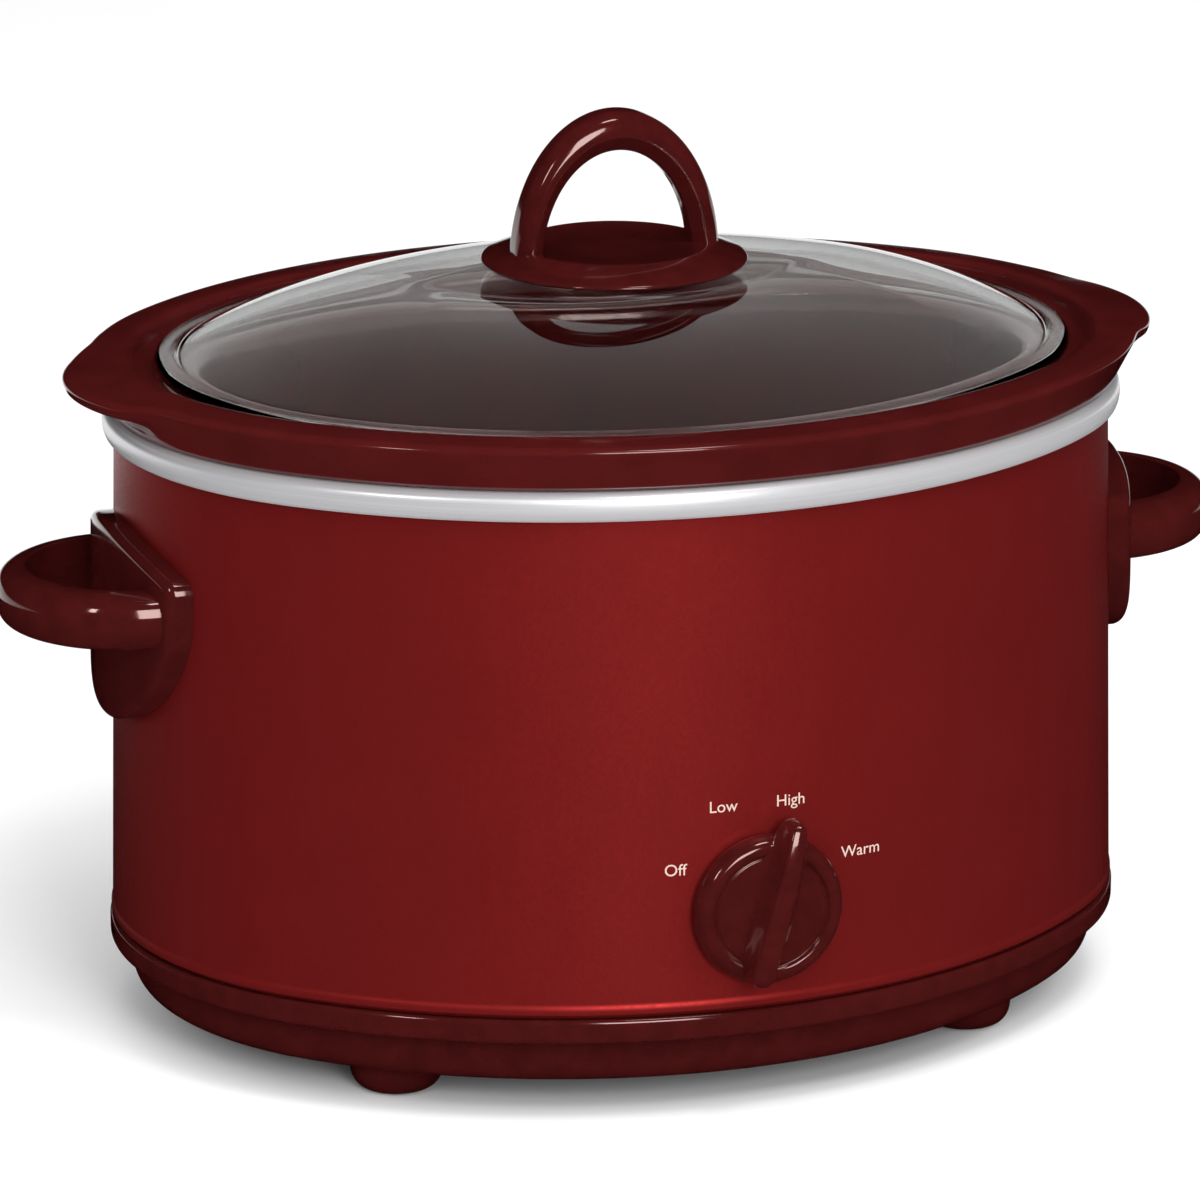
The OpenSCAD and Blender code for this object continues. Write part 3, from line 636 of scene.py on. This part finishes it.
def mount_knob(ob):
    """Turns the knob to its rest angle and stands it in front of the wall."""
    co = np.array([v.co for v in ob.data.vertices], float)
    turn = math.radians(-KNOB_REST)
    x = co[:, 0] * math.cos(turn) - co[:, 1] * math.sin(turn)
    up = co[:, 0] * math.sin(turn) + co[:, 1] * math.cos(turn)
    stood = np.stack([x + KNOB_X, -(PANEL_Y + KNOB_GAP + co[:, 2]), up + KNOB_Z], 1)
    ob.data.vertices.foreach_set("co", place(stood).ravel())
    ob.data.update()


dial = knob_shape()
mount_knob(dial)
finish_piece(dial, "control", PLASTIC, ["control_knob"])

# ---------------------------------------------------------------------------------- dial lettering

INK = dull_material("cream_dial_ink", (0.50, 0.36, 0.31), (0.60, 0.45, 0.39), 0.45, 0.6, 500, 0.00001)


CAPITAL = 0.70  # height of the built-in face's capitals, as a share of its size
INK_LOW, INK_HIGH = 0.02, 0.07  # the ink's two faces, in front of the painted wall
LABEL_HEIGHT = 3.35


def label(word, dx, dz, height):
    """A word on the curved wall, centred dx and dz from the knob's axis."""
    font = bpy.data.curves.new("word_" + word, "FONT")
    font.body, font.align_x, font.align_y = word, "CENTER", "CENTER"
    font.size = 1.0
    font.extrude = 0.0
    src = bpy.data.objects.new("word", font)
    bpy.context.scene.collection.objects.link(src)
    bpy.context.view_layer.update()
    flat = bpy.data.meshes.new_from_object(src.evaluated_get(bpy.context.evaluated_depsgraph_get()))
    bpy.data.objects.remove(src)
    co = np.array([v.co for v in flat.vertices], float)
    scale = height / CAPITAL
    x = KNOB_X + dx + (co[:, 0] - (co[:, 0].min() + co[:, 0].max()) / 2) * scale
    z = KNOB_Z + dz + co[:, 1] * scale
    faces = [tuple(p.vertices) for p in flat.polygons]
    out = []
    for lift in (INK_LOW, INK_HIGH):
        rad = BODY.side_r + wall_t(z) + lift
        out.append(np.stack([x, BODY.c - np.sqrt(rad ** 2 - x ** 2), z], 1))
    n = len(x)
    count = {}
    for p in faces:
        for a, b in zip(p, p[1:] + p[:1]):
            count[(a, b)] = count.get((a, b), 0) + 1
    rim = [(a, b) for (a, b) in count if (b, a) not in count]
    both = [tuple(reversed(p)) for p in faces] + [tuple(i + n for i in p) for p in faces]
    both += [(a, b, b + n, a + n) for a, b in rim]
    ob = make("label_" + word.lower(), np.concatenate(out), both)
    finish_piece(ob, "base", INK)


WORDS = (("Off", -25.9, 12.5), ("Low", -12.1, 30.1), ("High", 7.9, 30.1), ("Warm", 29.8, 12.3))
for word, dx, dz in WORDS:
    label(word, dx, dz, LABEL_HEIGHT)

# ---------------------------------------------------------------------------------- crock

crock_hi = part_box("crock")[1]
EAR_TIP = crock_hi.x / MM
EAR_R, RIDGE_OUT, RIDGE_Z, SKIRT_Z = 55.0, 7.8, 198.5, 185.3


def rim_reach(theta):
    """How far the rim stands out: the plain ridge, or the round end grips, merged smoothly."""
    tip_out = EAR_TIP - BODY_A  # how far the end grips stand out
    off = EAR_TIP - EAR_R - BODY.c
    ct, st = np.abs(np.cos(theta)), np.sin(theta)
    inside = EAR_R ** 2 - (off * st) ** 2
    ear = np.where(inside > 0, off * ct + np.sqrt(np.maximum(inside, 0)), 0) - BODY.end_r
    k = 3.2  # softness of the join between ridge and grip
    d = ear - RIDGE_OUT
    blend = np.where(d > -k * 2.2, 0.5 * (d + np.sqrt(d * d + k)), 0)
    blend = np.where(np.abs(np.cos(theta)) > 0.7, blend, 0)
    past_ridge = tip_out - RIDGE_OUT
    at_tip = 0.5 * (past_ridge + math.sqrt(past_ridge ** 2 + k))
    return RIDGE_OUT + blend * past_ridge / at_tip


def crock_profile(reach):
    """The crock's section, from the inner floor over the rim to the outer floor."""
    w = float(smoothstep((reach - RIDGE_OUT) / 5.5))
    zr = RIDGE_Z - 1.3 * w

    def between(a, b, u):
        return (a[0] + (b[0] - a[0]) * u, a[1] + (b[1] - a[1]) * u)

    ridge, skirt = (reach, zr - 0.9), (2.1, SKIRT_Z + 0.9)
    lip = between(between(ridge, skirt, 0.22), (reach - 0.9, zr - 3.7), w)
    root = between(between(ridge, skirt, 0.62), (4.4, 190.2), w)
    return rounded([
        (CORE, 66, 0), (-45, 66.3, 7), (-36.6, 70.5, 7), (-33.2, 82, 8), (-27.4, 187.5, 3.5),
        (-26.2, 192.4, 1.6), (-23.2, 193.8, 1.6), (-7.2, 193.8, 0.9), (-6.0, 194.8, 0.9),
        (-5.5, 198.6, 1.1), (-4.0, 199.75, 1.0), (-1.0, 199.8, 1.6), (reach - 1.6, zr + 0.45, 1.6),
        (*ridge, 1.0), (*lip, 0.9), (*root, 2.4), (*skirt, 0.5), (1.2, SKIRT_Z, 0.4), (-1.3, SKIRT_Z, 0.4),
        (-2.2, SKIRT_Z + 2.4, 0.8), (-3.2, 189, 0.9), (-12, 188.6, 2), (-16.6, 184.6, 2.5), (-24.2, 85, 10),
        (-27.4, 68, 6), (-33, 60, 5), (-40, 57, 4), (CORE, 57, 0)], 7)


crock_theta = around(112, 88)
crock = sweep("stoneware_crock", BODY, np.array([crock_profile(r) for r in rim_reach(crock_theta)]),
              crock_theta, caps=True, sharp=48)
finish_piece(crock, "crock", GLAZE, ["crock"])

# ---------------------------------------------------------------------------------- lid

THICK = 4.2
DOME_RISE = APEX_Z - GLASS_LOW - THICK


def dome(s):
    """Rise of the glass at a distance s in from its edge."""
    run = np.clip((s - 6) / 75, 0, 1)
    return DOME_RISE * (1 - (1 - run) ** 2)


s_out = np.concatenate([np.linspace(0, 6, 3)[:-1], np.linspace(6, 81, 48)])
top_line = [(-s, GLASS_LOW + THICK + dome(s)) for s in s_out if s > 1.8]
low_line = [(-s, GLASS_LOW + dome(s)) for s in s_out if s > 1.8]
bead = [(-THICK / 2 + THICK / 2 * math.cos(a), GLASS_LOW + THICK / 2 + THICK / 2 * math.sin(a))
        for a in np.linspace(-math.pi / 2, math.pi / 2, 13)]
glass = sweep("lid_dome_glass", LID, np.array(low_line[::-1] + bead + top_line), around(72, 72), caps=True,
              sharp=60)


def round_cutter(name, radius, z_low, z_high, n=40):
    """An upright cylinder on the body's axis."""
    turn = np.linspace(0, 2 * math.pi, n, endpoint=False)
    verts = [(radius * math.cos(a), radius * math.sin(a), z) for z in (z_low, z_high) for a in turn]
    faces = [tuple(reversed(range(n))), tuple(range(n, 2 * n))]
    faces += [(i, (i + 1) % n, n + (i + 1) % n, n + i) for i in range(n)]
    return make(name, verts, faces)


combine(glass, round_cutter("hole", 4.5, APEX_Z - 8, APEX_Z + 4), "DIFFERENCE", 60)
finish_piece(glass, "lid", GLASS, ["lid_glass"])

HANDLE_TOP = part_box("lid_handle")[1].z / MM
DISC_R = (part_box("lid_handle")[1].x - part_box("lid_handle")[0].x) / 2 / MM
DISC_Z = APEX_Z + 1
v, f, uv = lathe_data(rounded([
    (POLE, APEX_Z - 3.8, 0), (4.1, APEX_Z - 3.8, 0.4), (4.1, DISC_Z, 0), (15, DISC_Z, 2),
    (DISC_R - 1.2, DISC_Z + 1.9, 1), (DISC_R, DISC_Z + 2.6, 0.7), (DISC_R - 0.5, DISC_Z + 3.5, 0.7),
    (32, DISC_Z + 5.9, 5), (27.2, DISC_Z + 7.2, 0.5), (21, DISC_Z + 5.7, 5), (10, DISC_Z + 4.6, 6),
    (POLE, DISC_Z + 4.5, 0)], 8), 144)
lid_grip = make("lid_grip", v, f, uv, sharp=30)


def lid_arch(name):
    """The arch: a wide flat face in front and behind, chamfered towards its inner edge."""
    foot_z = DISC_Z + 3.0
    th = np.linspace(0, math.pi, 145)
    rise_out, rise_in = HANDLE_TOP - foot_z, HANDLE_TOP - 11.7 - foot_z
    half_out, half_in, depth = 31.0, 22.6, 6.5
    # a section from outer (u = 0) to inner (u = 1), and depth v in -1..1
    half = rounded([(0.0, 0.0), (0.0, 0.50, 0.30), (0.20, 0.86, 0.30), (0.42, 1.0, 0.25), (0.60, 1.0, 0.08),
                    (0.98, 0.52, 0.10), (1.0, 0.30, 0.08), (1.0, 0.0)], 7)
    sec = np.concatenate([half, (half * [1, -1])[::-1][1:-1]])
    rings = []
    for a in th:
        outer = np.array([half_out * math.cos(a), foot_z + rise_out * math.sin(a)])
        inner = np.array([half_in * math.cos(a), foot_z + rise_in * math.sin(a)])
        p = outer[None] + (inner - outer)[None] * sec[:, :1]
        rings.append(np.stack([p[:, 0], sec[:, 1] * depth, p[:, 1]], 1))
    return tube_mesh(name, np.array(rings), 50)


combine(lid_grip, lid_arch("arch"), "UNION", 32)
finish_piece(lid_grip, "lid", PLASTIC, ["lid_handle"])

# ---------------------------------------------------------------------------------- stage

FLOOR_HALF = 6.0
FLOOR_SPLIT = 0.6  # the floor in front of this line is left out of reflections


def floor_material():
    m = Nodes("pale_floor")
    m.colour(m.ramp(m.noise(3, 2), [(0.3, (0.90, 0.90, 0.90)), (0.7, (0.92, 0.92, 0.92))]))
    m.set(Roughness=0.9, Specular_IOR_Level=0.1)
    return m.mat


FLOOR = floor_material()


def floor_part(name, y_low, y_high, in_reflections):
    mesh = bpy.data.meshes.new(name)
    mesh.from_pydata([(-FLOOR_HALF, y_low, 0), (FLOOR_HALF, y_low, 0), (FLOOR_HALF, y_high, 0),
                      (-FLOOR_HALF, y_high, 0)], [], [(0, 1, 2, 3)])
    ob = bpy.data.objects.new(name, mesh)
    bpy.context.scene.collection.objects.link(ob)
    ob.data.materials.append(FLOOR)
    ob.visible_glossy = in_reflections


floor_part("floor_front", -FLOOR_HALF, FLOOR_SPLIT, False)
floor_part("floor_back", FLOOR_SPLIT, FLOOR_HALF, True)

world = bpy.data.worlds.new("studio")
world.use_nodes = True
background = world.node_tree.nodes["Background"]
background.inputs["Color"].default_value = (1, 1, 1, 1)
background.inputs["Strength"].default_value = 0.8
world.cycles_visibility.glossy = False
bpy.context.scene.world = world

MIDDLE = Vector((0, AXIS_Y, 0.11))  # what the lights are aimed at


def softbox(name, where, size, power):
    """A rectangular light at a place in metres, aimed at the cooker's middle."""
    data = bpy.data.lights.new(name, "AREA")
    data.shape, data.size, data.size_y = "RECTANGLE", size[0], size[1]
    data.energy = power
    ob = bpy.data.objects.new(name, data)
    bpy.context.scene.collection.objects.link(ob)
    ob.location = where
    ob.rotation_mode = "QUATERNION"
    ob.rotation_quaternion = (MIDDLE - Vector(where)).to_track_quat("-Z", "Y")
    return ob


softbox("overhead", (0.2, -1.3, 2.4), (2.6, 2.0), 48).visible_glossy = False
softbox("key", (-0.05, -2.3, 0.9), (0.8, 1.0), 30)
softbox("accent_left", (-1.8, -1.5, 1.3), (0.25, 0.5), 6)
softbox("accent_top", (0.3, -1.0, 2.2), (0.5, 0.3), 7)

camera_data = bpy.data.cameras.new("camera")
camera = bpy.data.objects.new("camera", camera_data)
bpy.context.scene.collection.objects.link(camera)
AZ, EL = math.radians(18.4227), math.radians(16.9007)  # round to the left, and up
DISTANCE, AIM_Z = 2.19973, 0.09274
FRAME_SIZE = 1200
back = Vector((-math.sin(AZ) * math.cos(EL), -math.cos(AZ) * math.cos(EL), math.sin(EL)))
camera.location = Vector((0, AXIS_Y, AIM_Z)) + back * DISTANCE
camera.rotation_mode = "QUATERNION"
camera.rotation_quaternion = (-back).to_track_quat("-Z", "Y")
camera_data.sensor_width = 36.0
camera_data.lens = 7473.4 / FRAME_SIZE * camera_data.sensor_width
camera_data.shift_x = -14.27 / FRAME_SIZE
camera_data.shift_y = 85.27 / FRAME_SIZE
camera_data.clip_start, camera_data.clip_end = 0.01, 50
bpy.context.scene.camera = camera

bpy.context.scene.view_settings.view_transform = "Standard"
bpy.context.scene.view_settings.look = "None"
